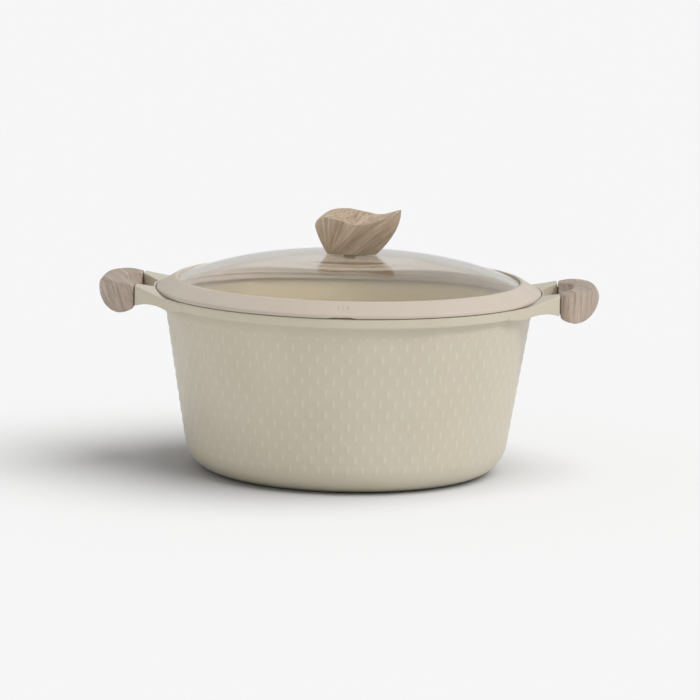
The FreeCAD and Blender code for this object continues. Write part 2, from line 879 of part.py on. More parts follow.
def make_knob(doc, d):
    tall = d.knob_tip + PAST - d.knob_low
    levels = [d.knob_low + tall * step / 6 for step in range(7)]
    solid = Part.makeLoft([knob_section(d, z) for z in levels], True)
    above = knob_top(d).extrude(V(0, 0, tall))
    blank = doc.addObject("Part::Feature", "knob_blank")
    blank.Shape = solid.cut(above)
    seat_top = d.dome_top + d.seat_thick
    recess = cylinder(doc, "seat_recess", d.seat_rad + d.sleeve_gap * 2, d.knob_low - 2, seat_top)
    bore = cylinder(doc, "insert_bore", d.insert_rad, seat_top - 1, d.insert_top + d.sleeve_gap)
    tools = doc.addObject("Part::Fuse", "knob_hollows")
    tools.Base = recess
    tools.Tool = bore
    knob = doc.addObject("Part::Cut", "lid_knob")
    knob.Label = "lid_knob"
    knob.Base = blank
    knob.Tool = tools
    return knob


# ---------------------------------------------------------------- output

def check_and_export(doc, nodes):
    doc.recompute()
    for obj in doc.Objects:
        if "Invalid" in obj.State or "Error" in obj.State:
            raise RuntimeError(f"{obj.Name} failed: {obj.State}")
    os.makedirs("parts", exist_ok=True)
    for node in nodes:
        shape = node.Shape
        if shape.isNull() or not shape.isValid() or len(shape.Solids) != 1:
            raise RuntimeError(f"{node.Label}: bad shape, {len(shape.Solids)} solids")
        shape.exportStep(f"parts/{node.Label}.step")
        box = shape.BoundBox
        print(f"{node.Label:26s} {shape.Volume / 1000:8.2f} cm3"
              f"  x {box.XMin:7.2f} {box.XMax:7.2f}  y {box.YMin:7.2f} {box.YMax:7.2f}"
              f"  z {box.ZMin:7.2f} {box.ZMax:7.2f}")


def main():
    doc = FreeCAD.newDocument("casserole")
    d = Sheet(doc)
    left_grip = make_grip(doc, d, "left_grip")
    left_grip.Placement = FreeCAD.Placement(V(0, 0, 0), FreeCAD.Rotation(Z_AXIS, 180))
    nodes = [make_pot_body(doc, d), make_base_disc(doc, d)]
    nodes += [left_grip, make_grip(doc, d, "right_grip")]
    nodes += make_grip_screws(doc, d)
    nodes += [make_lid_glass(doc, d), make_lid_seal(doc, d), make_knob(doc, d)]
    nodes += make_knob_fixing(doc, d)
    check_and_export(doc, nodes)


main()
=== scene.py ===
"""Looks for the casserole pot: detailed pieces, materials, floor, light and camera.

Lengths in this file are millimetres in the part's frame; meshes are scaled to
metres when they are made.
"""

import math

import bmesh
import bpy
from mathutils import Matrix, Vector


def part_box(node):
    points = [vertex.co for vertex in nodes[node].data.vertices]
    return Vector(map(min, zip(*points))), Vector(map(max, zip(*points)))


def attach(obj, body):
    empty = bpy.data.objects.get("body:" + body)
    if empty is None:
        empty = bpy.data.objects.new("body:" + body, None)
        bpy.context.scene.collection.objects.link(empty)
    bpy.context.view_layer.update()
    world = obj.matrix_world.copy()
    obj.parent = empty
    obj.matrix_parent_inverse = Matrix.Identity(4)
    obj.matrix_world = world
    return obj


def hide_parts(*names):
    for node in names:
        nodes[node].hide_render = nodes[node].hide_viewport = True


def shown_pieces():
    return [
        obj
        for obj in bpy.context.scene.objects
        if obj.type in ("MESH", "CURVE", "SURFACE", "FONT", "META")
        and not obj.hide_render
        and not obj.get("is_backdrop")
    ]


MM = 0.001
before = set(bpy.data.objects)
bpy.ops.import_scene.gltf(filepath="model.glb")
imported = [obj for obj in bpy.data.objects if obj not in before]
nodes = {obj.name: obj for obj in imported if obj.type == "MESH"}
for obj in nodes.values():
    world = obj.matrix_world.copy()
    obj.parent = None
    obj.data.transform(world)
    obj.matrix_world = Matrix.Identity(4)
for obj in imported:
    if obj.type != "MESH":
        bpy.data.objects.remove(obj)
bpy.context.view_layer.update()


def box_mm(node):
    """Lowest and highest corner of a CAD node, in millimetres."""
    low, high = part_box(node)
    return low / MM, high / MM


SEAL_LOW, SEAL_HIGH = box_mm("lid_rim_seal")
GLASS_HIGH = box_mm("lid_glass")[1]
KNOB_LOW, KNOB_HIGH = box_mm("lid_knob")
GRIP_LOW, GRIP_HIGH = box_mm("right_grip")
DISC_HIGH = box_mm("base_disc")[1]

# Pot, as radii and heights.
RIM_TOP = 117.2
BAND_RAD = SEAL_HIGH.x - 0.7
BAND_LOW = 111.2
WALL_REF_RAD = 119.7
WALL_REF_Z = 100.0
WALL_SLOPE = 0.1595
WALL_THICK = 3.2
SKIN = WALL_THICK * math.sqrt(1 + WALL_SLOPE ** 2)
FLOOR_TOP = 6.0
BASE_ROUND = 22.0
FLOOR_ROUND = 18.0
PLATE_GAP = 0.2
BASE_BEVEL = 0.4

# Hollows in the wall, side by side in staggered rows, with crests between them.
# The skin needs several columns of faces for every hollow.
FACES_PER_HOLLOW = 10
HOLLOW_COLUMNS = 72
HOLLOW_ROW = 7.35
HOLLOW_DEPTH = 0.32
CREST_POWER = 5.0
# CREST_SHEEN_POWER sharpens the mask of the lighter tone painted on the crests as glints.
CREST_SHEEN_POWER = 8.0
CREST_FADE = (0.12, 0.56)
HOLLOW_TOP_ROW = 104.8
RELIEF_FADE = (8.0, 16.0)
CREST_END = (103.9, 105.3)
CREST_REACH = 1.5
COVE_TOP = 109.2
COVE_DEPTH = 0.25

# Glass dome: a flat crown and a rounder shoulder.
CROWN_RAD = 700.0
CROWN_REACH = 45.0
SHOULDER_RAD = 212.0
GLASS_THICK = 4.0
GLASS_BORE = 3.6

# Rim seal.
SEAL_BASE = 117.6
SEAL_EDGE = 119.2
SEAL_INNER = 112.6
SEAL_LIP_RAD = 113.9
LIP_WIDE = 1.6
LIP_DROP = 0.35
SLOPE_INSET = 0.2
SLOPE_FOOT = 0.7
SKIRT_OUT = 117.4
SKIRT_IN = 114.9
VENT_X = 0.0
VENT_HALF = 8.6
VENT_RISE = 1.25

# Steam mark on the seal.
STEAM_BARS = 3
STEAM_GAP = 2.9
STEAM_RAD = 120.0
STEAM_LONG = 5.2
STEAM_BOW = 1.1
STEAM_THICK = 0.42


# ---------------------------------------------------------------- meshes

def make_mesh(name, points, faces):
    """A smooth-shaded mesh object from millimetre points."""
    mesh = bpy.data.meshes.new(name)
    mesh.from_pydata([Vector(p) * MM for p in points], [], faces)
    mesh.polygons.foreach_set("use_smooth", [True] * len(mesh.polygons))
    mesh.validate()
    obj = bpy.data.objects.new(name, mesh)
    bpy.context.scene.collection.objects.link(obj)
    return obj


def write_grain(obj, values):
    """Store wood coordinates, one for every vertex, in millimetres."""
    layer = obj.data.attributes.new("grain", "FLOAT_VECTOR", "POINT")
    for item, value in zip(layer.data, values):
        item.vector = value


def stands_for(obj, body, slot, material, *replaced):
    """Hang a finished piece on its CAD body and give it its material."""
    obj.data.materials.clear()
    obj.data.materials.append(material)
    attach(obj, body)
    if replaced:
        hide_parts(*replaced)
    return obj


def repaint(node, material):
    """Give a CAD node that keeps its shape a finished material."""
    mesh = nodes[node].data
    mesh.materials.clear()
    mesh.materials.append(material)


def revolved(profile, columns, shift=None):
    """Points and faces of a profile of (radius, height) turned about Z.

    A radius of 0 at either end closes the surface with one point. shift(point)
    may move each point.
    """
    points = []
    rings = []
    for rad, z in profile:
        if rad == 0:
            rings.append([len(points)])
            points.append((0.0, 0.0, z))
            continue
        ring = []
        for column in range(columns):
            angle = 2 * math.pi * column / columns
            place = (rad * math.cos(angle), rad * math.sin(angle), z)
            ring.append(len(points))
            points.append(shift(place) if shift else place)
        rings.append(ring)
    faces = []
    for lower, upper in zip(rings, rings[1:]):
        faces += join_rings(lower, upper, columns)
    return points, faces


def join_rings(lower, upper, columns):
    faces = []
    for column in range(columns):
        after = (column + 1) % columns
        if len(lower) == 1:
            faces.append((lower[0], upper[after], upper[column]))
        elif len(upper) == 1:
            faces.append((lower[column], lower[after], upper[0]))
        else:
            faces.append((lower[column], lower[after], upper[after], upper[column]))
    return faces


def rounded_path(corners, step=0.9):
    """A polyline with rounded corners, from (x, y, corner radius) items."""
    path = []
    last = len(corners) - 1
    for number, (x, y, radius) in enumerate(corners):
        here = Vector((x, y))
        if radius == 0 or number in (0, last):
            path.append((x, y))
            continue
        before = (Vector(corners[number - 1][:2]) - here).normalized()
        after = (Vector(corners[number + 1][:2]) - here).normalized()
        half = before.angle(after) / 2
        reach = radius / math.tan(half)
        centre = here + (before + after).normalized() * (radius / math.sin(half))
        start = here + before * reach - centre
        end = here + after * reach - centre
        sweep = start.angle(end)
        count = max(3, int(sweep * radius / step))
        side = 1 if start.x * end.y - start.y * end.x > 0 else -1
        for n in range(count + 1):
            spin = Matrix.Rotation(side * sweep * n / count, 2)
            path.append(tuple(centre + spin @ start))
    return path


def subdivided(path, longest):
    """The same polyline with no piece longer than longest."""
    out = [path[0]]
    for (x0, y0), (x1, y1) in zip(path, path[1:]):
        pieces = max(1, math.ceil(math.hypot(x1 - x0, y1 - y0) / longest))
        for n in range(1, pieces + 1):
            out.append((x0 + (x1 - x0) * n / pieces, y0 + (y1 - y0) * n / pieces))
    return out


def smooth_step(value, low, high):
    share = min(max((value - low) / (high - low), 0.0), 1.0)
    return share * share * (3 - 2 * share)


# ---------------------------------------------------------------- pot

def wall_rad(z):
    return WALL_REF_RAD - WALL_SLOPE * (WALL_REF_Z - z)


def crest(angle, z, power):
    """1 on the crests between hollows, falling to 0 inside them.

    The crests of one row stand over the middles of the next row's hollows.
    """
    column = angle * HOLLOW_COLUMNS / (2 * math.pi)
    row = (z - HOLLOW_TOP_ROW) / HOLLOW_ROW
    below = math.floor(row)
    total = 0.0
    for near_row in (below, below + 1):
        weight = 1 - smooth_step(abs(row - near_row), *CREST_FADE)
        across = column - 0.5 * (near_row % 2)
        total += weight * (2 * abs(across - round(across))) ** power
    return total * (1 - smooth_step(z, *CREST_END)) * smooth_step(z, *RELIEF_FADE)


def hollow(angle, z):
    """Depth of the wall's skin below its crests."""
    return HOLLOW_DEPTH * (smooth_step(z, *RELIEF_FADE) - crest(angle, z, CREST_POWER))


def cove_inset(z):
    """Extra depth of the plain ring between the hollows and the band."""
    return COVE_DEPTH * smooth_step(z, CREST_END[1], COVE_TOP)


def press_wall(place):
    """Move a point of the outer wall in by the hollows and the cove."""
    x, y, z = place
    rad = math.hypot(x, y)
    pressed = rad - hollow(math.atan2(y, x), z) - cove_inset(z)
    return (x * pressed / rad, y * pressed / rad, z)


def make_pot_shell():
    """The outside of the pot: plate recess, hollowed wall, cove, band and rim."""
    columns = HOLLOW_COLUMNS * FACES_PER_HOLLOW
    recess = DISC_HIGH.x + PLATE_GAP
    outer = rounded_path([
        (0, DISC_HIGH.z, 0), (recess, DISC_HIGH.z, 0),
        (recess, BASE_BEVEL, 0), (recess + BASE_BEVEL, 0, 0),
        (wall_rad(0), 0, BASE_ROUND), (wall_rad(WALL_REF_Z), WALL_REF_Z, 0)])[:-1]
    outer += [(wall_rad(z), z) for z in even_heights(outer[-1][1], COVE_TOP, 0.6)[1:]]
    neck = press_wall((wall_rad(COVE_TOP), 0, COVE_TOP))[0]
    top = rounded_path([
        (neck, COVE_TOP, 0), (neck + 0.1, BAND_LOW, 1.6), (BAND_RAD, BAND_LOW, 0.9),
        (BAND_RAD, RIM_TOP, 0.7), (wall_rad(RIM_TOP) - SKIN, RIM_TOP, 0)], step=0.5)
    points, faces = revolved(outer, columns, press_wall)
    top_points, top_faces = revolved(top, columns)
    faces += [tuple(n + len(points) for n in face) for face in top_faces]
    shell = make_mesh("pot_shell", points + top_points, faces)
    weld(shell, 0.02)
    # The crest attribute masks a lighter tone painted on the wall's crests as glints of light.
    layer = shell.data.attributes.new("crest", "FLOAT", "POINT")
    for item, vertex in zip(layer.data, shell.data.vertices):
        x, y, z = vertex.co / MM
        outside = math.hypot(x, y) > wall_rad(z) - CREST_REACH
        item.value = crest(math.atan2(y, x), z, CREST_SHEEN_POWER) if outside else 0.0
    return shell


def make_pot_lining():
    """The inside of the pot, from the rim down over the floor."""
    profile = rounded_path([
        (wall_rad(RIM_TOP) - SKIN, RIM_TOP, 0), (wall_rad(FLOOR_TOP) - SKIN, FLOOR_TOP, FLOOR_ROUND),
        (0, FLOOR_TOP, 0)])
    points, faces = revolved(subdivided(profile, 6.0), 240)
    return make_mesh("pot_lining", points, [tuple(reversed(face)) for face in faces])


def even_heights(low, high, step):
    count = max(1, round((high - low) / step))
    return [low + (high - low) * n / count for n in range(count + 1)]


def weld(obj, distance):
    """Merge vertices closer than distance, and turn all faces outwards."""
    mesh = bmesh.new()
    mesh.from_mesh(obj.data)
    bmesh.ops.remove_doubles(mesh, verts=mesh.verts, dist=distance * MM)
    bmesh.ops.recalc_face_normals(mesh, faces=mesh.faces)
    mesh.to_mesh(obj.data)
    mesh.free()


def copy_of(node, name):
    """A loose copy of a CAD node's mesh, welded into one skin."""
    obj = bpy.data.objects.new(name, nodes[node].data.copy())
    bpy.context.scene.collection.objects.link(obj)
    for key in list(obj.keys()):
        del obj[key]
    weld(obj, 0.005)
    return obj


def bake_modifiers(obj):
    """Replace the mesh by what its modifiers make of it."""
    graph = bpy.context.evaluated_depsgraph_get()
    made = bpy.data.meshes.new_from_object(obj.evaluated_get(graph))
    obj.modifiers.clear()
    obj.data = made
    made.polygons.foreach_set("use_smooth", [True] * len(made.polygons))


def remeshed(obj, voxel, passes, keep_crisp=None):
    """Even, softly rounded skin: voxel remesh, then smoothing passes."""
    remesh = obj.modifiers.new("even", "REMESH")
    remesh.mode = "VOXEL"
    remesh.voxel_size = voxel * MM
    bake_modifiers(obj)
    if keep_crisp:
        group = obj.vertex_groups.new(name="soft")
        for vertex in obj.data.vertices:
            group.add([vertex.index], keep_crisp(vertex.co / MM), "REPLACE")
    smooth = obj.modifiers.new("soften", "SMOOTH")
    smooth.factor = 0.5
    smooth.iterations = passes
    if keep_crisp:
        smooth.vertex_group = "soft"
    bake_modifiers(obj)
    return obj


def box_object(name, low, high):
    mesh = bmesh.new()
    bmesh.ops.create_cube(mesh, size=1.0)
    size = (Vector(high) - Vector(low)) * MM
    centre = (Vector(high) + Vector(low)) * MM / 2
    bmesh.ops.scale(mesh, vec=size, verts=mesh.verts)
    bmesh.ops.translate(mesh, vec=centre, verts=mesh.verts)
    data = bpy.data.meshes.new(name)
    mesh.to_mesh(data)
    mesh.free()
    obj = bpy.data.objects.new(name, data)
    bpy.context.scene.collection.objects.link(obj)
    return obj


BRACKET_REGION = ((96, -88, 107), (152, 88, 130))
BRACKET_VOXEL = 0.6
BAND_CLEARANCE = 0.15
BAND_BITE = 0.8


def make_bracket(name):
    """The right bracket: the arms outside the band, with softened ridges."""
    obj = copy_of("pot_body", name)
    keep = box_object("bracket_region", *BRACKET_REGION)
    cut = obj.modifiers.new("region", "BOOLEAN")
    cut.operation = "INTERSECT"
    cut.solver = "EXACT"
    cut.object = keep
    bake_modifiers(obj)
    bpy.data.objects.remove(keep)
    remeshed(obj, BRACKET_VOXEL, passes=6)
    mesh = bmesh.new()
    mesh.from_mesh(obj.data)
    outside = BAND_RAD + BAND_CLEARANCE
    inner = [v for v in mesh.verts if math.hypot(v.co.x, v.co.y) < outside * MM]
    bmesh.ops.delete(mesh, geom=inner, context="VERTS")
    for vertex in mesh.verts:
        if vertex.is_boundary:
            scale = (BAND_RAD - BAND_BITE) * MM / math.hypot(vertex.co.x, vertex.co.y)
            vertex.co.x *= scale
            vertex.co.y *= scale
    mesh.to_mesh(obj.data)
    mesh.free()
    return obj


def turned_copy(obj, name):
    """The same piece half a turn about Z."""
    mesh = obj.data.copy()
    mesh.transform(Matrix.Rotation(math.pi, 4, "Z"))
    other = bpy.data.objects.new(name, mesh)
    bpy.context.scene.collection.objects.link(other)
    return other


# ---------------------------------------------------------------- grips

GRIP_VOXEL = 0.65
GRAIN_STRAIGHT = 152.0


def left_grain(point):
    """Grain that runs down and inwards on the left grip's near side."""
    x, y, z = point
    lean = 0.42 + 0.012 * (x + GRIP_LOW.x)
    return (x + lean * (z - GRIP_HIGH.z) + 0.3 * y, z, 0.3 * y + x)


def right_grain(point):
    """Grain that runs nearly upright on the right grip's near side."""
    x, y, z = point
    bow = 0.006 * max(x - GRAIN_STRAIGHT, 0.0) * (z - GRIP_HIGH.z)
    return (x - 0.05 * (z - GRIP_HIGH.z) - bow + 0.3 * y, z, 0.3 * y - x)


def make_grip(node, name, grain):
    """A grip with rounded edges that stays crisp at its seam."""
    obj = copy_of(node, name)
    seam = min(abs(corner.x) for corner in box_mm(node))

    def softness(place):
        out = abs(place.x) - seam
        return 0.12 + 0.18 * smooth_step(out, 0.2, 2.2) + 0.7 * smooth_step(out, 6, 18)

    remeshed(obj, GRIP_VOXEL, passes=40, keep_crisp=softness)
    write_grain(obj, [grain(vertex.co / MM) for vertex in obj.data.vertices])
    return obj


# ---------------------------------------------------------------- lid

def dome_height(rad, depth):
    """Height of the dome at a radius, depth below its outer face."""
    sin = CROWN_REACH / CROWN_RAD
    cos = math.sqrt(1 - sin * sin)
    centre = GLASS_HIGH.z - CROWN_RAD
    if rad < (CROWN_RAD - depth) * sin:
        return centre + math.sqrt((CROWN_RAD - depth) ** 2 - rad * rad)
    shift = CROWN_RAD - SHOULDER_RAD
    run = rad - shift * sin
    return centre + shift * cos + math.sqrt((SHOULDER_RAD - depth) ** 2 - run * run)


def make_glass():
    """The dome, with its bore in the middle and a rounded outer edge."""
    edge = GLASS_HIGH.x
    count = 48
    radii = [GLASS_BORE + 0.4 + (edge - 0.8 - GLASS_BORE) * n / count for n in range(count + 1)]
    upper = [(rad, dome_height(rad, 0)) for rad in radii]
    lower = [(rad, dome_height(rad, GLASS_THICK)) for rad in reversed(radii)]
    middle_out = (edge, dome_height(edge, GLASS_THICK / 2) - 0.4)
    profile = upper + [middle_out] + lower
    profile += [(GLASS_BORE, GLASS_HIGH.z - GLASS_THICK / 2), upper[0]]
    obj = make_mesh("lid_dome", *revolved(profile, 240))
    weld(obj, 0.01)
    return obj


def seal_profile():
    """The seal's section, from its inner lip round to the groove for the glass."""
    under_z = dome_height(SEAL_INNER + 1, GLASS_THICK) - 0.1
    return rounded_path([
        (SEAL_INNER, dome_height(SEAL_INNER, 0) + 0.05, 0),
        (SEAL_LIP_RAD - 0.9, SEAL_HIGH.z - 0.4, 0.3),
        (SEAL_LIP_RAD, SEAL_HIGH.z + 0.05, 0.5),
        (SEAL_LIP_RAD + LIP_WIDE, SEAL_HIGH.z - LIP_DROP, 1.4),
        (SEAL_HIGH.x - SLOPE_INSET, SEAL_EDGE + SLOPE_FOOT, 1.2),
        (SEAL_HIGH.x, SEAL_BASE, 0.9),
        (SKIRT_OUT + 0.7, SEAL_BASE, 0),
        (SKIRT_OUT, SEAL_BASE - 0.7, 0),
        (SKIRT_OUT - 0.4, SEAL_LOW.z, 0.6),
        (SKIRT_IN, SEAL_LOW.z, 0.5),
        (SKIRT_IN, under_z - 2, 0.3),
        (SEAL_INNER + 1, under_z - 1, 0.3),
        (SEAL_INNER + 1, under_z, 0),
        (SEAL_INNER, dome_height(SEAL_INNER, 0) + 0.05, 0)], 0.35)


def open_vent(place):
    """Lift the seal's underside over the steam vent at the front."""
    x, y, z = place
    share = abs(x - VENT_X) / VENT_HALF
    if y > 0 or share >= 1:
        return place
    lifted = SEAL_BASE + VENT_RISE * (1 - share * share)
    return (x, y, max(z, lifted))


def make_seal():
    obj = make_mesh("lid_seal", *revolved(subdivided(seal_profile(), 3.0), 720, open_vent))
    weld(obj, 0.01)
    return obj


def seal_slope(rad):
    """Height of the seal's sloping face at a radius."""
    inner = SEAL_LIP_RAD + LIP_WIDE
    share = (rad - inner) / (SEAL_HIGH.x - SLOPE_INSET - inner)
    top = SEAL_HIGH.z - LIP_DROP
    return top + (SEAL_EDGE + SLOPE_FOOT - top) * share


def make_steam_mark():
    """Three curved bars for steam, raised on the seal over the vent."""
    points = []
    faces = []
    sides = 6
    steps = 12
    for bar in range(STEAM_BARS):
        first = len(points)
        for step in range(steps + 1):
            along = step / steps - 0.5
            rad = STEAM_RAD - STEAM_LONG * along
            bow = STEAM_BOW * (1 - math.cos(math.pi * along))
            x = VENT_X - 2.6 + STEAM_GAP * bar + bow
            angle = math.asin(x / rad)
            taper = STEAM_THICK * math.cos(math.pi * along * 0.9)
            centre = Vector((rad * math.sin(angle), -rad * math.cos(angle), seal_slope(rad)))
            for side in range(sides):
                turn = 2 * math.pi * side / sides
                points.append(centre + Vector((taper * math.cos(turn), 0, taper * math.sin(turn))))
        for step in range(steps):
            for side in range(sides):
                a = first + step * sides + side
                b = first + step * sides + (side + 1) % sides
                faces.append((a, b, b + sides, a + sides))
    return make_mesh("steam_mark", points, faces)


# ---------------------------------------------------------------- knob

KNOB_BASE_LEFT = -15.2
KNOB_BASE_RIGHT = 17.8
KNOB_LEFT = -23.6
KNOB_RIGHT = 33.4
KNOB_BASE_HALF = 10.0
KNOB_HALF = 13.6
KNOB_SHOULDER = 163.5
KNOB_DISH = 4.5
KNOB_BORE = 4.05
KNOB_BORE_TOP = 155.0
KNOB_RECESS = 8.2
KNOB_RECESS_DEPTH = 0.8
SPINE_MIDDLE = 4.0
SPINE_HALF = 7.7
FOOT_ROUND = 0.6
SIDE_STEPS = 25
TOP_STEPS = 14
GRAIN_FOOT = (-14.0, 140.0)
GRAIN_TURN = 51.0
GRAIN_FAN = 24.0
FRONT_RIM = ((-23.6, 163.5), (-17.0, 168.3), (-8.0, 167.3), (4.0, 164.3), (18.0, 166.8), (33.0, 172.8))
BACK_RIM = ((-23.6, 163.5), (-14.0, 171.0), (-4.0, 172.3), (8.0, 170.3), (20.0, 169.3), (33.0, 172.8))


def through(points):
    """A height along X, by smooth cubic pieces through a few points."""
    last = len(points) - 1
    slopes = []
    for number in range(last + 1):
        before = points[max(number - 1, 0)]
        after = points[min(number + 1, last)]
        slopes.append((after[1] - before[1]) / (after[0] - before[0]))

    def height(x):
        near = min(max(x, points[0][0]), points[last][0])
        piece = max(n for n in range(last) if points[n][0] <= near)
        (x_a, z_a), (x_b, z_b) = points[piece], points[piece + 1]
        span = x_b - x_a
        part = (near - x_a) / span
        blend = part * part * (3 - 2 * part)
        lead = part * (1 - part) ** 2 * span * slopes[piece]
        trail = part * part * (1 - part) * span * slopes[piece + 1]
        return z_a + (z_b - z_a) * blend + lead - trail
    return height


front_rim = through(FRONT_RIM)
back_rim = through(BACK_RIM)


def eased(value, power):
    """0 to 1, fast at first and level at the end."""
    clipped = min(max(value, 0.0), 1.0)
    return 1 - (1 - clipped) ** power


def knob_side(angle, z):
    """A point of the cup's side at a height."""
    height = (z - KNOB_LOW.z) / (KNOB_HIGH.z - KNOB_LOW.z)
    left_height = (z - KNOB_LOW.z) / (KNOB_SHOULDER - KNOB_LOW.z)
    left = KNOB_BASE_LEFT + (KNOB_LEFT - KNOB_BASE_LEFT) * eased(left_height, 1.5)
    right = KNOB_BASE_RIGHT + (KNOB_RIGHT - KNOB_BASE_RIGHT) * eased(height, 2)
    half = KNOB_BASE_HALF + (KNOB_HALF - KNOB_BASE_HALF) * eased(height, 2)
    along = math.cos(angle)
    across = math.sin(angle)
    sharp = 0.7 * max(height, 0.0) * max(along, 0.0) ** 2
    x = (left + right) / 2 + (right - left) / 2 * along
    y = half * math.copysign(abs(across) ** (1 + sharp), across)
    return Vector((x, y, z))


def knob_top(x, y):
    """Height of the cup's dished top."""
    across = y / KNOB_HALF
    share = smooth_step(across, -1, 1)
    middle = min(max((x - KNOB_LEFT) / (KNOB_RIGHT - KNOB_LEFT), 0.0), 1.0)
    sag = KNOB_DISH * math.sin(math.pi * middle) ** 2 * max(1 - across * across, 0.0)
    return front_rim(x) * (1 - share) + back_rim(x) * share - sag


def knob_corner(angle):
    """Where the side meets the top, found by stepping towards it."""
    z = KNOB_SHOULDER
    for _ in range(30):
        place = knob_side(angle, z)
        z = z + 0.7 * (knob_top(place.x, place.y) - z)
    return knob_side(angle, z)


def side_grain(point):
    """Grain that fans out of the knob's foot on the left and runs up to its tip.

    The first number counts across the lines, in millimetres, the second along.
    """
    x, y, z = point
    away = Vector((x - GRAIN_FOOT[0], z - GRAIN_FOOT[1]))
    turn = math.atan2(away.x, max(away.y, 0.01))
    limit = math.radians(GRAIN_TURN)
    ray = Vector((math.sin(limit), math.cos(limit)))
    below = max(away.x * ray.y - away.y * ray.x, 0.0) if turn > limit else 0.0
    return (GRAIN_FAN * min(turn, limit) + below, away.length, y)


def top_grain(point):
    """The front side's grain carried over the rim, slanting back to the right."""
    x, y, _ = point
    front_x = x - 0.5 * (y + KNOB_HALF)
    across, along, _ = side_grain((front_x, 0, front_rim(front_x)))
    return (across, along + y, y)


def bend(start, corner, end, count):
    """Points on a quadratic curve that rounds a corner, from start to end."""
    out = []
    for n in range(count + 1):
        t = n / count
        out.append(start * (1 - t) ** 2 + corner * (2 * t * (1 - t)) + end * t * t)
    return out


def knob_column(angle):
    """One strip of the knob from its inner bore, up its side, to the top's middle."""
    spine = Vector((SPINE_MIDDLE + SPINE_HALF * math.cos(angle), 0, 0))
    foot = knob_side(angle, KNOB_LOW.z)
    ring = Vector((math.cos(angle), math.sin(angle), 0))
    recess_top = KNOB_LOW.z + KNOB_RECESS_DEPTH
    strip = [ring * KNOB_BORE + Vector((0, 0, z)) for z in (KNOB_BORE_TOP, recess_top)]
    strip += [ring * KNOB_RECESS + Vector((0, 0, z)) for z in (recess_top, KNOB_LOW.z)]
    side_start = KNOB_LOW.z + FOOT_ROUND
    strip += bend(foot.lerp(strip[-1], 0.08), foot, knob_side(angle, side_start), 3)
    corner = knob_corner(angle)
    soft = 0.8 + 2.2 * max(-math.cos(angle), 0.0) ** 4
    side_end = corner.z - soft
    for n in range(1, SIDE_STEPS + 1):
        strip.append(knob_side(angle, side_start + (side_end - side_start) * n / SIDE_STEPS))
    flat = Vector((corner.x, corner.y, 0))
    inward = (spine - flat).normalized() * soft
    top_start = flat + inward
    top_start.z = knob_top(top_start.x, top_start.y)
    strip += bend(strip.pop(), corner, top_start, 5)
    sides = len(strip) - 3
    for n in range(1, TOP_STEPS + 1):
        place = (flat + inward).lerp(spine, n / TOP_STEPS)
        place.z = knob_top(place.x, place.y)
        strip.append(place)
    return strip, [side_grain(p) for p in strip[:sides]] + [top_grain(p) for p in strip[sides:]]


def make_knob():
    """The leaf-shaped cup, made of strips all round."""
    columns = 160
    points = []
    faces = []
    grain = []
    for column in range(columns):
        strip, strip_grain = knob_column(2 * math.pi * column / columns)
        points += strip
        grain += strip_grain
    length = len(points) // columns
    for column in range(columns):
        here = column * length
        there = (column + 1) % columns * length
        for n in range(length - 1):
            faces.append((here + n, there + n, there + n + 1, here + n + 1))
    obj = make_mesh("knob_leaf", points, faces)
    write_grain(obj, grain)
    weld(obj, 0.01)
    return obj


# ---------------------------------------------------------------- materials

CREAM_TONES = ((0.595, 0.54, 0.425), (0.57, 0.515, 0.40))
CREAM_SPECK = (0.30, 0.26, 0.19, 1)
CREAM_WORN = (0.74, 0.70, 0.60, 1)
# The lighter tone painted on the wall's crests as glints of light, not rubbed wear.
CREAM_CREST_GLINT = (0.82, 0.78, 0.68, 1)
RUBBER_TONES = ((0.555, 0.485, 0.405), (0.53, 0.46, 0.38))
RUBBER_DUST = (0.80, 0.77, 0.72, 1)
WOOD_STREAK = (0.13, 0.075, 0.045, 1)
WOOD_VEINS = 0.35
GLASS_TINT = (0.88, 0.835, 0.765, 1)
GLASS_SHADE = (0.92, 0.93, 0.92, 1)
# Lower than real glass, so that the dome mirrors the studio only weakly.
GLASS_IOR = 1.22


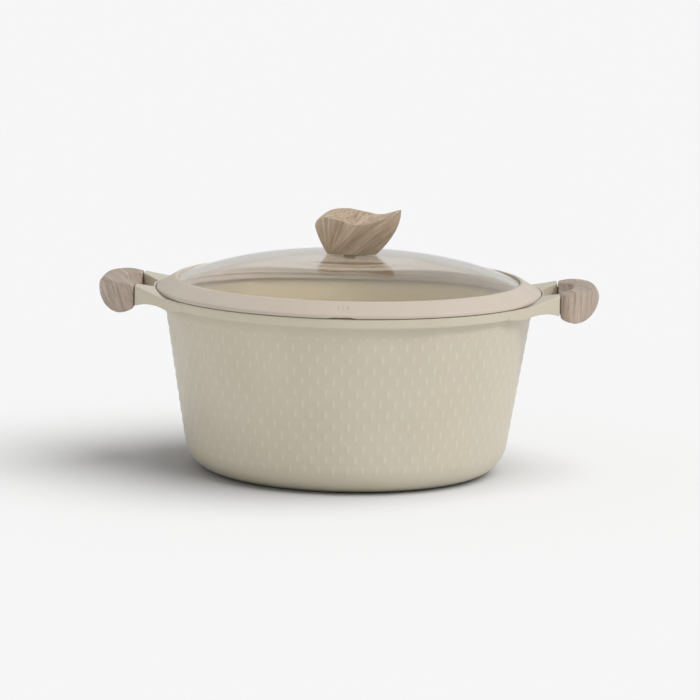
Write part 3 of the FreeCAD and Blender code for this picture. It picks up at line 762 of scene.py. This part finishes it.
class Nodes:
    """A short way to build a material's node tree."""

    def __init__(self, name):
        self.material = bpy.data.materials.new(name)
        self.material.use_nodes = True
        self.tree = self.material.node_tree
        self.shader = self.tree.nodes["Principled BSDF"]

    def add(self, kind, **values):
        node = self.tree.nodes.new(f"ShaderNode{kind}")
        for key, value in values.items():
            setattr(node, key, value)
        return node

    def link(self, source, target):
        self.tree.links.new(source, target)

    def shader_values(self, **values):
        for key, value in values.items():
            self.shader.inputs[key.replace("_", " ")].default_value = value

    def scaled(self, source, scale):
        """source's vector multiplied by scale, axis by axis."""
        mapping = self.add("Mapping")
        mapping.inputs["Scale"].default_value = scale
        self.link(source, mapping.inputs["Vector"])
        return mapping.outputs["Vector"]

    def noise(self, vector, scale, detail=3.0, roughness=0.5, distortion=0.0):
        node = self.add("TexNoise")
        node.inputs["Scale"].default_value = scale
        node.inputs["Detail"].default_value = detail
        node.inputs["Roughness"].default_value = roughness
        node.inputs["Distortion"].default_value = distortion
        self.link(vector, node.inputs["Vector"])
        return node.outputs["Fac"]

    def ramp(self, value, stops):
        """Colours at places along value, from (place, colour) pairs."""
        node = self.add("ValToRGB")
        items = node.color_ramp.elements
        while len(items) > 1:
            items.remove(items[-1])
        items[0].position, items[0].color = stops[0][0], (*stops[0][1], 1)
        for place, colour in stops[1:]:
            items.new(place).color = (*colour, 1)
        self.link(value, node.inputs["Fac"])
        return node.outputs["Color"]

    def spread(self, value, low, high, out_low, out_high):
        """value from low..high carried to out_low..out_high."""
        node = self.add("MapRange")
        for key, number in (("From Min", low), ("From Max", high), ("To Min", out_low), ("To Max", out_high)):
            node.inputs[key].default_value = number
        self.link(value, node.inputs["Value"])
        return node.outputs["Result"]

    def blended(self, share, first, second, mode="MIX"):
        """Two colours mixed; share is a number or a socket."""
        node = self.add("Mix", data_type="RGBA", blend_type=mode)
        for key, item in ((0, share), (6, first), (7, second)):
            if isinstance(item, bpy.types.NodeSocket):
                self.link(item, node.inputs[key])
            else:
                node.inputs[key].default_value = item
        return node.outputs[2]

    def maths(self, operation, first, second):
        node = self.add("Math", operation=operation)
        for key, item in enumerate((first, second)):
            if isinstance(item, bpy.types.NodeSocket):
                self.link(item, node.inputs[key])
            else:
                node.inputs[key].default_value = item
        return node.outputs[0]

    def bump(self, height, strength, distance):
        node = self.add("Bump")
        node.inputs["Strength"].default_value = strength
        node.inputs["Distance"].default_value = distance
        self.link(height, node.inputs["Height"])
        self.link(node.outputs["Normal"], self.shader.inputs["Normal"])

    def place(self):
        return self.add("TexCoord").outputs["Object"]


def coating(name, light, dark):
    """Satin ceramic coating: faint mottling, orange peel, worn edges, and a lighter tone painted on the
    wall's crests as glints of light.
    """
    m = Nodes(name)
    at = m.place()
    cloud = m.noise(at, 26.0, 4.0, 0.55)
    tone = m.ramp(cloud, [(0.35, dark), (0.65, light)])
    speck = m.spread(m.noise(at, 2600.0, 2.0, 0.6), 0.66, 0.74, 0.0, 1.0)
    worn = m.spread(m.add("NewGeometry").outputs["Pointiness"], 0.53, 0.6, 0.0, 0.35)
    colour = m.blended(m.maths("MULTIPLY", speck, 0.12), tone, CREAM_SPECK)
    colour = m.blended(worn, colour, CREAM_WORN)
    # A lighter tone is painted on the crests as glints of light on the relief.
    crest_glint = m.spread(m.add("Attribute", attribute_name="crest").outputs["Fac"], 0.1, 1.0, 0.0, 0.3)
    colour = m.blended(crest_glint, colour, CREAM_CREST_GLINT)
    m.link(colour, m.shader.inputs["Base Color"])
    peel = m.noise(at, 900.0, 3.0, 0.5)
    m.link(m.spread(m.noise(at, 60.0, 5.0, 0.6), 0.3, 0.7, 0.40, 0.52), m.shader.inputs["Roughness"])
    m.shader_values(Coat_Weight=0.25, Coat_Roughness=0.25)
    m.bump(peel, 0.25, 0.00012)
    return m.material


def silicone(name, light, dark):
    """Matte silicone with a faint bloom of dust."""
    m = Nodes(name)
    at = m.place()
    tone = m.ramp(m.noise(at, 40.0, 5.0, 0.6), [(0.3, dark), (0.7, light)])
    dust = m.spread(m.noise(at, 1800.0, 3.0, 0.7), 0.62, 0.75, 0.0, 0.18)
    m.link(m.blended(dust, tone, RUBBER_DUST), m.shader.inputs["Base Color"])
    m.link(m.spread(m.noise(at, 90.0, 4.0, 0.6), 0.3, 0.7, 0.52, 0.66), m.shader.inputs["Roughness"])
    m.shader_values(Sheen_Weight=0.08, Sheen_Roughness=0.5)
    m.bump(m.noise(at, 1500.0, 3.0, 0.6), 0.22, 0.0001)
    return m.material


def wood_effect(name, stops):
    """Printed wood: broad tone bands, fine streaks, pores and a few dark veins."""
    m = Nodes(name)
    grain = m.add("Attribute", attribute_name="grain").outputs["Vector"]
    broad = m.noise(m.scaled(grain, (0.14, 0.012, 0.05)), 1.0, 2.0, 0.5, 0.35)
    fine = m.noise(m.scaled(grain, (1.5, 0.03, 0.22)), 1.0, 5.0, 0.7, 0.15)
    hair = m.noise(m.scaled(grain, (3.6, 0.10, 0.8)), 1.0, 3.0, 0.6)
    mixed = m.maths("ADD", m.maths("MULTIPLY", broad, 0.3), m.maths("MULTIPLY", fine, 0.7))
    tone = m.ramp(mixed, stops)
    pores = m.spread(hair, 0.56, 0.70, 0.0, 0.55)
    colour = m.blended(pores, tone, WOOD_STREAK)
    winding = m.noise(m.scaled(grain, (0.36, 0.014, 0.1)), 1.0, 2.0, 0.4, 0.6)
    vein = m.spread(winding, 0.58, 0.68, 0.0, WOOD_VEINS)
    colour = m.blended(vein, colour, WOOD_STREAK)
    m.link(colour, m.shader.inputs["Base Color"])
    m.link(m.spread(fine, 0.3, 0.7, 0.62, 0.46), m.shader.inputs["Roughness"])
    m.bump(m.maths("SUBTRACT", fine, m.maths("MULTIPLY", pores, 0.6)), 0.35, 0.00025)
    return m.material


def clear_glass(name):
    """Tempered glass. Lamps shine through it to what is inside the pot."""
    m = Nodes(name)
    m.shader_values(Transmission_Weight=1.0, IOR=GLASS_IOR, Roughness=0.0, Base_Color=GLASS_TINT)
    clear = m.add("BsdfTransparent")
    clear.inputs["Color"].default_value = GLASS_SHADE
    path = m.add("LightPath")
    mix = m.add("MixShader")
    output = m.tree.nodes["Material Output"]
    m.link(path.outputs["Is Shadow Ray"], mix.inputs["Fac"])
    m.link(m.shader.outputs["BSDF"], mix.inputs[1])
    m.link(clear.outputs["BSDF"], mix.inputs[2])
    m.link(mix.outputs["Shader"], output.inputs["Surface"])
    return m.material


def brushed_steel(name):
    """Steel with fine turning marks about the lid's and the pot's axis."""
    m = Nodes(name)
    at = m.place()
    m.shader_values(Metallic=1.0)
    tone = m.ramp(m.noise(at, 120.0, 4.0, 0.6), [(0.3, (0.50, 0.49, 0.47)), (0.7, (0.66, 0.65, 0.63))])
    m.link(tone, m.shader.inputs["Base Color"])
    apart = m.add("SeparateXYZ")
    m.link(at, apart.inputs[0])
    x_square, y_square = (m.maths("POWER", apart.outputs[axis], 2.0) for axis in (0, 1))
    rad = m.maths("SQRT", m.maths("ADD", x_square, y_square), 0.0)
    rings = m.add("TexNoise", noise_dimensions="1D")
    rings.inputs["Scale"].default_value = 2500.0
    rings.inputs["Detail"].default_value = 4.0
    m.link(rad, rings.inputs["W"])
    m.link(m.spread(rings.outputs["Fac"], 0.3, 0.7, 0.22, 0.42), m.shader.inputs["Roughness"])
    m.bump(rings.outputs["Fac"], 0.3, 0.00005)
    return m.material


def brass(name):
    """Plain turned brass with a little tarnish."""
    m = Nodes(name)
    at = m.place()
    m.shader_values(Metallic=1.0)
    tone = m.ramp(m.noise(at, 400.0, 3.0, 0.6), [(0.3, (0.55, 0.40, 0.17)), (0.7, (0.72, 0.55, 0.26))])
    m.link(tone, m.shader.inputs["Base Color"])
    m.link(m.spread(m.noise(at, 900.0, 3.0, 0.6), 0.3, 0.7, 0.25, 0.45), m.shader.inputs["Roughness"])
    return m.material


# ---------------------------------------------------------------- studio

FLOOR_TONE = 0.45
FLOOR_HALF = 14.0
# Each sun: azimuth and elevation, strength, and width on the sky in degrees.
FLOOR_KEY = ((78, 60), 4.72, 64)
POT_KEY = ((70, 40), 0.85, 14)
LID_KEY = ((76, 46), 1.35, 14)
KNOB_FILL = ((-50, 25), 0.75, 40)
INSIDE_KEY = ((-15, 50), 1.6, 60)
SKY_EVEN = 0.7
SKY_RISE = 0.08
SKY_SIDE = 0.1


def make_floor():
    """A plain pale floor, in metres."""
    mesh = bmesh.new()
    bmesh.ops.create_grid(mesh, x_segments=1, y_segments=1, size=FLOOR_HALF)
    data = bpy.data.meshes.new("floor")
    mesh.to_mesh(data)
    mesh.free()
    floor = bpy.data.objects.new("floor", data)
    bpy.context.scene.collection.objects.link(floor)
    m = Nodes("studio_floor")
    m.shader_values(Base_Color=(FLOOR_TONE, FLOOR_TONE, FLOOR_TONE, 1), Roughness=0.9)
    m.shader.inputs["Specular IOR Level"].default_value = 0.0
    data.materials.append(m.material)
    floor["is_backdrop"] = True
    return floor


def make_sun(name, setting, lit):
    """A soft sun that shines from a direction onto the lit objects only."""
    angles, strength, width = setting
    lamp = bpy.data.lights.new(name, "SUN")
    lamp.energy = strength
    lamp.angle = math.radians(width)
    sun = bpy.data.objects.new(name, lamp)
    sun.rotation_mode = "QUATERNION"
    sun.rotation_quaternion = Vector(direction(*angles)).to_track_quat("Z", "Y")
    bpy.context.scene.collection.objects.link(sun)
    group = bpy.data.collections.new(f"{name}_lights")
    for obj in lit:
        group.objects.link(obj)
    sun.light_linking.receiver_collection = group
    return sun


def make_world():
    """Pale surroundings, brighter overhead and to the right."""
    world = bpy.data.worlds.new("studio")
    world.use_nodes = True
    tree = world.node_tree
    apart = tree.nodes.new("ShaderNodeSeparateXYZ")
    tree.links.new(tree.nodes.new("ShaderNodeTexCoord").outputs["Generated"], apart.inputs[0])
    parts = []
    for axis, gain in (("Z", SKY_RISE), ("X", SKY_SIDE)):
        part = tree.nodes.new("ShaderNodeMath")
        part.operation = "MULTIPLY_ADD"
        part.inputs[1].default_value = gain
        tree.links.new(apart.outputs[axis], part.inputs[0])
        parts.append(part)
    rise, side = parts
    rise.inputs[2].default_value = SKY_EVEN
    tree.links.new(rise.outputs[0], side.inputs[2])
    tree.links.new(side.outputs[0], tree.nodes["Background"].inputs["Strength"])
    tree.nodes["Background"].inputs["Color"].default_value = (1, 1, 1, 1)
    bpy.context.scene.world = world


def direction(azimuth, elevation):
    """Towards a lamp: azimuth from the front round to the right, in degrees."""
    turn = math.radians(azimuth)
    rise = math.radians(elevation)
    return (math.sin(turn) * math.cos(rise), -math.cos(turn) * math.cos(rise), math.sin(rise))


def make_lights(floor):
    """The sky, and a sun of its own for each part of the picture."""
    make_world()
    make_sun("floor_key", FLOOR_KEY, [floor])
    lid = [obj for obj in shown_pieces() if obj.name.startswith(("lid_", "knob_", "steam"))]
    inside = [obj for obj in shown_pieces() if obj.name == "pot_lining"]
    pot = [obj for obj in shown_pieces() if obj not in lid + inside]
    make_sun("pot_key", POT_KEY, pot)
    make_sun("lid_key", LID_KEY, lid)
    make_sun("knob_fill", KNOB_FILL, [bpy.data.objects["knob_leaf"]])
    make_sun("inside_key", INSIDE_KEY, inside)


CAMERA_PLACE = (68.15, -2270.94, 427.0)
CAMERA_FORWARD = (-0.02898, 0.98803, -0.15152)
CAMERA_RIGHT = (0.99957, 0.02932, 0.0)
CAMERA_ROLL = 1.2
CAMERA_LENS = 178.68


def make_camera():
    """The camera 2.27 m in front of the pot and 0.43 m over the floor."""
    data = bpy.data.cameras.new("camera")
    data.sensor_width = 36.0
    data.lens = CAMERA_LENS
    data.clip_end = 60.0
    camera = bpy.data.objects.new("camera", data)
    forward = Vector(CAMERA_FORWARD).normalized()
    right = Vector(CAMERA_RIGHT)
    up = right.cross(forward).normalized()
    roll = math.radians(CAMERA_ROLL)
    right_rolled = right * math.cos(roll) + up * math.sin(roll)
    up_rolled = up * math.cos(roll) - right * math.sin(roll)
    turn = Matrix((right_rolled, up_rolled, -forward)).transposed()
    camera.matrix_world = Matrix.Translation(Vector(CAMERA_PLACE) * MM) @ turn.to_4x4()
    bpy.context.scene.collection.objects.link(camera)
    bpy.context.scene.camera = camera


# ---------------------------------------------------------------- assembly

def build():
    """Make every piece and hang it on its body."""
    cream = coating("coating", *CREAM_TONES)
    rubber = silicone("silicone", *RUBBER_TONES)
    knob_wood = wood_effect("knob_wood", [
        (0.34, (0.21, 0.14, 0.09)), (0.45, (0.37, 0.275, 0.19)),
        (0.54, (0.455, 0.35, 0.255)), (0.66, (0.60, 0.49, 0.375))])
    grip_wood = wood_effect("grip_wood", [
        (0.34, (0.27, 0.195, 0.145)), (0.47, (0.39, 0.305, 0.24)),
        (0.55, (0.46, 0.37, 0.30)), (0.66, (0.58, 0.48, 0.40))])
    steel = brushed_steel("steel")

    stands_for(make_pot_shell(), "pot", "coated_aluminium", cream, "pot_body")
    stands_for(make_pot_lining(), "pot", "coated_aluminium", cream, "pot_body")
    right = make_bracket("bracket_right")
    stands_for(turned_copy(right, "bracket_left"), "pot", "coated_aluminium", cream, "pot_body")
    stands_for(right, "pot", "coated_aluminium", cream, "pot_body")
    left_grip = make_grip("left_grip", "grip_left", left_grain)
    stands_for(left_grip, "pot", "wood_effect", grip_wood, "left_grip")
    right_grip = make_grip("right_grip", "grip_right", right_grain)
    stands_for(right_grip, "pot", "wood_effect", grip_wood, "right_grip")
    stands_for(make_glass(), "lid", "glass", clear_glass("dome_glass"), "lid_glass")
    stands_for(make_seal(), "lid", "silicone", rubber, "lid_rim_seal")
    stands_for(make_steam_mark(), "lid", "silicone", rubber)
    stands_for(make_knob(), "lid", "wood_effect", knob_wood, "lid_knob")
    for node in ("base_disc", "knob_washer", "knob_screw", "grip_screw_left_front",
                 "grip_screw_left_back", "grip_screw_right_front", "grip_screw_right_back"):
        repaint(node, steel)
    for node in ("knob_seat", "glass_bush"):
        repaint(node, rubber)
    repaint("knob_insert", brass("brass"))


build()
make_lights(make_floor())
make_camera()
bpy.context.scene.view_settings.view_transform = "Standard"
